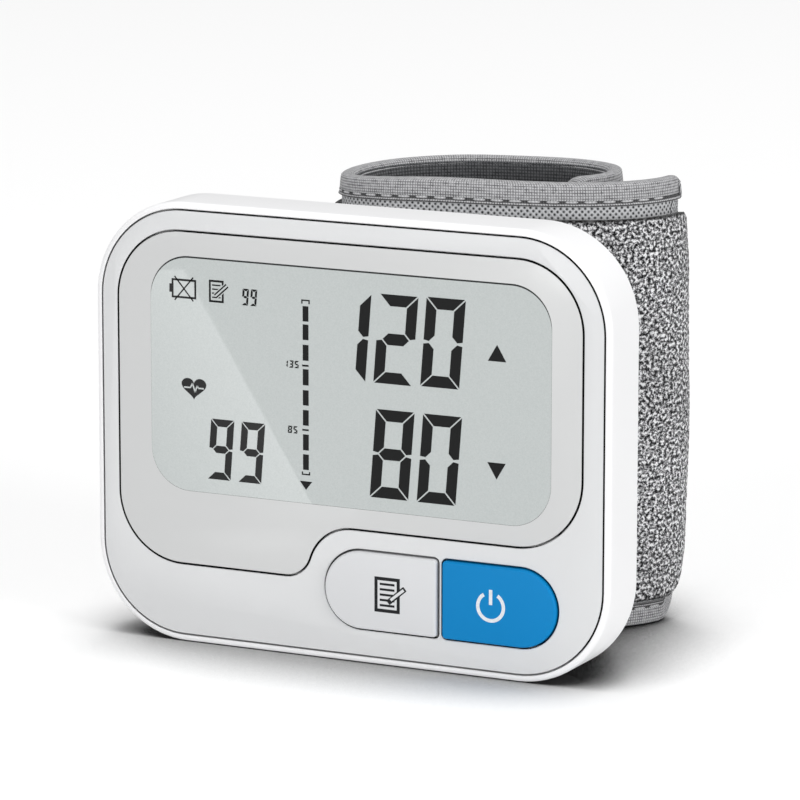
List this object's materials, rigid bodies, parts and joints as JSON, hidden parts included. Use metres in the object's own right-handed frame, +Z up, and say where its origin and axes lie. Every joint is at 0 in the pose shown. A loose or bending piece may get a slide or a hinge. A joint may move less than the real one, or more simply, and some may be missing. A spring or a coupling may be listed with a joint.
{
  "type": "wrist blood pressure monitor",
  "caption": "Rounded rectangular case with a large display, a pill-shaped pair of buttons and a fabric cuff wrapped into a loop behind it.",
  "frame": {"origin": "centre of the footprint, on the plane that the case and the cuff stand on", "axes": "+X to the right as the display is read, +Y from the display towards the cuff, +Z up along the cuff"},
  "size_m": [0.086, 0.061, 0.0697],
  "materials": {
    "white_shell": "smooth satin white",
    "face_plate": "pale grey, satin",
    "lens": "clear window with a pale grey printed border, glossy",
    "display": "liquid crystal glass, greenish grey",
    "reflector": "pale grey-green film",
    "blue_cap": "satin blue",
    "inner_plastic": "dark moulded",
    "board": "green laminate",
    "steel": "plain",
    "soft_rubber": "soft, matte",
    "cell_jacket": "plain dark grey jacket",
    "felt": "brushed loop pile, mid grey",
    "knit": "knitted cover, grey",
    "lining": "smooth dark grey",
    "tape": "woven edge tape, grey",
    "hook": "small hooks, dark grey"
  },
  "bodies": {
    "case_and_cuff": {"front_cover": "white_shell", "face_panel": "face_plate", "display_lens": "lens", "rear_cover": "white_shell", "lcd_glass": "display", "lcd_reflector": "reflector", "lcd_holder": "inner_plastic", "zebra_strip": "soft_rubber", "memory_switch_base": "inner_plastic", "start_switch_base": "inner_plastic", "circuit_board": "board", "control_chip": "inner_plastic", "buzzer": "inner_plastic", "pressure_sensor": "white_shell", "battery_1": "cell_jacket", "battery_2": "cell_jacket", "battery_link_plate": "steel", "battery_plus_plate": "steel", "battery_minus_plate": "steel", "pump_motor": "steel", "pump_head": "inner_plastic", "air_manifold": "soft_rubber", "pump_tube": "soft_rubber", "valve_tube": "soft_rubber", "bleed_valve": "inner_plastic", "case_screw_1": "steel", "case_screw_2": "steel", "case_screw_3": "steel", "case_screw_4": "steel", "board_screw_1": "steel", "board_screw_2": "steel", "saddle_screw_1": "steel", "saddle_screw_2": "steel", "cuff_lining": "lining", "cuff_bladder": "soft_rubber", "cuff_curler": "inner_plastic", "cuff_cover": "knit", "cuff_felt": "felt", "cuff_bottom_binding": "tape", "cuff_top_binding": "tape", "cuff_saddle": "white_shell", "air_nozzle": "inner_plastic", "nozzle_seal": "soft_rubber"},
    "memory_key": {"memory_button": "white_shell", "memory_switch_plunger": "inner_plastic"},
    "start_key": {"start_button": "blue_cap", "start_switch_plunger": "inner_plastic"},
    "battery_cover": {"battery_door": "white_shell"},
    "pump_rotor": {"pump_eccentric": "steel"},
    "cuff_free_end": {"cuff_tab": "felt", "cuff_hook_patch": "hook"}
  },
  "joints": [
    {"name": "memory_button_press", "type": "slide", "parent": "case_and_cuff", "child": "memory_key", "axis": [0, 1, 0], "range_m": [0, 0.0006], "stiffness_N_per_m": 1200, "springref_m": -0.0003},
    {"name": "start_button_press", "type": "slide", "parent": "case_and_cuff", "child": "start_key", "axis": [0, 1, 0], "range_m": [0, 0.0006], "stiffness_N_per_m": 1200, "springref_m": -0.0003},
    {"name": "battery_door_slide", "type": "slide", "parent": "case_and_cuff", "child": "battery_cover", "axis": [-1, 0, 0], "range_m": [0, 0.026]},
    {"name": "pump_eccentric_spin", "type": "hinge", "parent": "case_and_cuff", "child": "pump_rotor", "pos_m": [0.0235, -0.01388, 0.0395], "axis": [0, 0, 1], "continuous": true},
    {"name": "cuff_free_end_peel", "type": "hinge", "parent": "case_and_cuff", "child": "cuff_free_end", "pos_m": [0.0302, 0.0073, 0.034], "axis": [0, 0, -1], "range_deg": [0, 60]}
  ]
}
